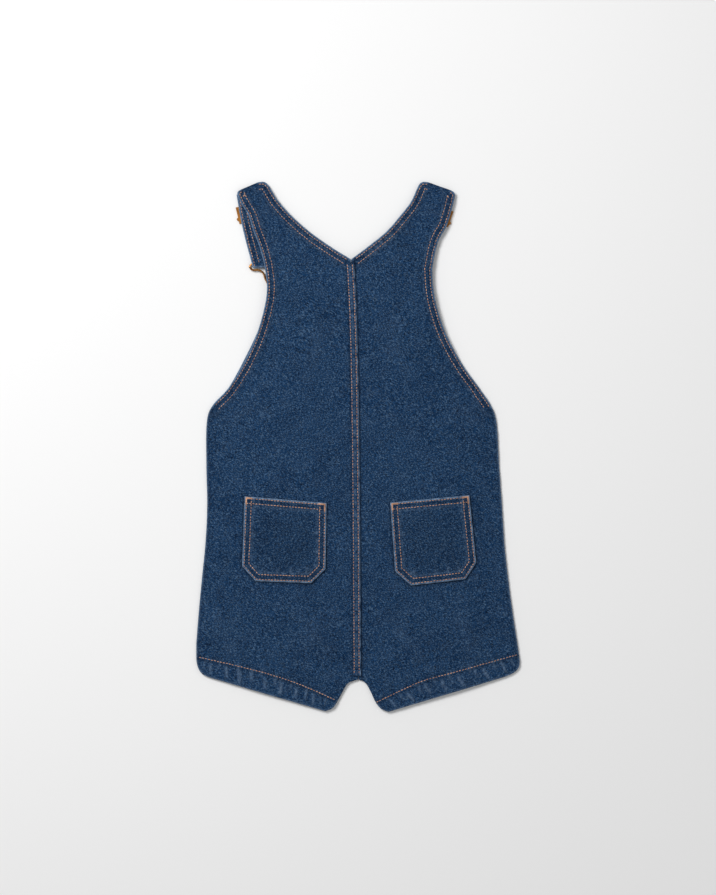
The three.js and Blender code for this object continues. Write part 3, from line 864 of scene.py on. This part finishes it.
def add_pocket(side, word):
    top, corner, bottom = POCKET[side]
    outer, inner = chain(section([top, corner], 60), section([corner, bottom], 20))
    outline = pocket_outline(side)
    mouth = Edge([top[:2], top[2:]], -side)
    waver, jitter = wander(71 + side, 9), wander(73 + side, 6)

    def form(x, y, run):
        low = back_underside(x, y) + CLOTH + GAP
        off, length = outline.measure(x, y)
        down, width = mouth.measure(x, y)
        relief = -1.0 * rounded(np.minimum(off, down), 1.0)
        relief = relief + 0.35 * (1 - smooth(off, 7.2, 8.6)) + 0.45 * (1 - smooth(down, 7.4, 8.8))
        relief = relief + 0.2 * patches(x, y, 75 + side, 34) + 0.14 * jitter(length) * bell(off, 4, 3)
        fade = (0.75 + 0.3 * waver(length)) * bell(off, 0.3, 1.1)
        fade = fade + (0.8 + 0.3 * waver(width)) * bell(down, 0.3, 1.1)
        fade = fade + (0.1 + 0.12 * jitter(length)) * bell(off, 8.2, 1.1)
        puckers = ripples(outline, POCKET_PUCKERS[side], x, y)
        relief, fade = relief + 0.8 * puckers, fade + 0.7 * puckers
        fade = fade + (0.12 + 0.14 * jitter(width)) * bell(down, 8.6, 1.0)
        # Painted shade between the twin rows, and a little more over the pocket's middle, which lies
        # lower than its edge bands
        painted_shade = 0.22 * bell(off, 4, 1.4) + 0.22 * bell(down, 4, 1.4)
        painted_shade = painted_shade + 0.12 * smooth(np.minimum(off, down), 11, 22)
        for row in POCKET_ROWS:
            relief = relief - 0.25 * bell(off, row, 0.6) - 0.25 * bell(down, row, 0.6)
        return low, low + CLOTH + relief, fade, painted_shade
    name = f"pocket_{word}"
    piece, surface, area = shell(f"{name}_cloth", outer, inner, POCKET_COLUMNS, form,
                                 POCKET_DENIM)
    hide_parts(name)
    sewing = Stitching(f"{name}_stitches", surface, 77 + side)
    for row in POCKET_ROWS:
        line = outline.offset(row)
        sewing.row(line.part(0.8, line.length - 0.8))
        line = mouth.offset(row)
        sewing.row(line.part(1.6, line.length - 1.6))
    mouth_tacks, side_tacks = mouth.offset(1.4), outline.offset(1.6)
    for way in (1, -1):
        corner_at = 0 if way == 1 else mouth.length
        sewing.bar_tack(*mouth_tacks.at(np.array([corner_at + way * 1.3, corner_at + way * 7.2])))
        start = 1.0 if way == 1 else side_tacks.length - 1.0
        sewing.bar_tack(*side_tacks.at(np.array([start, start + way * 6.5])))
    sewing.finish()


# Front panels and the straps' front run ---------------------------------------------------


def add_front(side, word):
    cut = BACK[side]
    tuck = side * SEAM_ALLOWANCE

    def under_back(rows):
        return [(a + tuck, b + SEAM_ALLOWANCE, c - tuck / 2, d + SEAM_ALLOWANCE)
                for a, b, c, d in rows]
    hips = [row for row in on_seam(cut["seat"], side) if row[1] < HIP_TOP]
    chest = section(on_seam(cut["bib"], side) + under_back(hips), FRONT_CHEST_STEPS)
    leg = section(under_back(cut["leg"]), FRONT_LEG_STEPS)
    outer, inner = chain(chest, leg)
    edges = [Edge(outer, side), Edge(inner, -side), Edge([outer[0], inner[0]], -side),
             Edge([outer[-1], inner[-1]], side)]
    hem = edges[3]

    def form(x, y, run):
        low = along(FRONT_HEIGHTS, y, 1)
        off = np.minimum.reduce([edge.measure(x, y)[0] for edge in edges])
        from_hem, _ = hem.measure(x, y)
        fade = 0.7 * bell(off, 0.2, 1.2) + 0.2 * bell(from_hem, 17, 1.2)
        # Painted shade between the twin rows
        painted_shade = 0.3 * bell(off, 4.6, 1.8)
        return low + 0.5 * rounded(off), low + CLOTH - 0.45 * rounded(off), fade, painted_shade
    name = f"front_{word}"
    piece, surface, area = shell(f"{name}_cloth", outer, inner, FRONT_COLUMNS, form, BODY_DENIM)
    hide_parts(name)
    sewing = Stitching(f"{name}_stitches", surface, 83 + side, down=False)
    armhole = Edge(outer[:BIB_UNDERARM_ROW * FRONT_CHEST_STEPS + 1], side)
    top = edges[2]
    for row in EDGE_ROWS:
        sewing.row(armhole.offset(row))
        sewing.row(top.offset(row))
        sewing.row(Edge(inner[:len(chest[1])], -side).offset(row))
    sewing.row(hem.offset(FRONT_HEM))
    sewing.finish()


def add_front_strap(side, word):
    outer, inner = section(STRAP_FRONT[side], STRAP_FRONT_STEPS)
    edges = [Edge(outer, side), Edge(inner, -side)]
    end = Edge([outer[-1], inner[-1]], side)

    # Worn pale edges of a strap, and painted shade between its stitch rows
    def edge_wear_and_painted_shade(x, y):
        off = np.minimum.reduce([edge.measure(x, y)[0] for edge in edges])
        from_end, _ = end.measure(x, y)
        relief = 0.6 * rounded(np.minimum(off, from_end))
        fade = 0.8 * bell(off, 0.2, 1.1) + 0.7 * bell(from_end, 0.2, 1.1)
        # Painted shade between the twin rows
        painted_shade = 0.35 * bell(off, 4.2, 1.4)
        return relief, fade, painted_shade

    def run_form(x, y, run):
        low = along(STRAP_HEIGHTS, run, 1)
        relief, fade, painted_shade = edge_wear_and_painted_shade(x, y)
        turn = smooth(run, 0.985, 0.99)
        return low * (1 - turn), low + CLOTH - relief, fade, painted_shade

    name = f"strap_front_{word}"
    piece, surface, area = shell(f"{name}_cloth", outer, inner, STRAP_COLUMNS, run_form,
                                 BODY_DENIM)
    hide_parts(name)
    tail_from = int(STRAP_TAIL * (len(outer) - 1))

    def tail_form(x, y, run):
        relief, fade, painted_shade = edge_wear_and_painted_shade(x, y)
        return 0.6 * relief, CLOTH + 0 * x, fade, painted_shade
    shell(f"{name}_tail", outer[tail_from:-2], inner[tail_from:-2], STRAP_COLUMNS, tail_form,
          BODY_DENIM)
    sewing = Stitching(f"{name}_stitches", surface, 91 + side)
    for edge in edges:
        for row in EDGE_ROWS:
            line = edge.offset(row)
            sewing.row(line.part(1, line.length - 1))
    sewing.finish()


WORDS = ((LEFT, "left"), (RIGHT, "right"))
for side, word in WORDS:
    add_front(side, word)
    add_front_strap(side, word)
    add_back(side, word)
add_felled_seam()
for side, word in WORDS:
    add_pocket(side, word)

# Brass fittings ---------------------------------------------------------------------------

for fitting in ("hook", "slider", "bib_button"):
    for _, word in WORDS:
        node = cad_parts[f"{fitting}_{word}"]
        node.data.materials.clear()
        node.data.materials.append(BRASS)
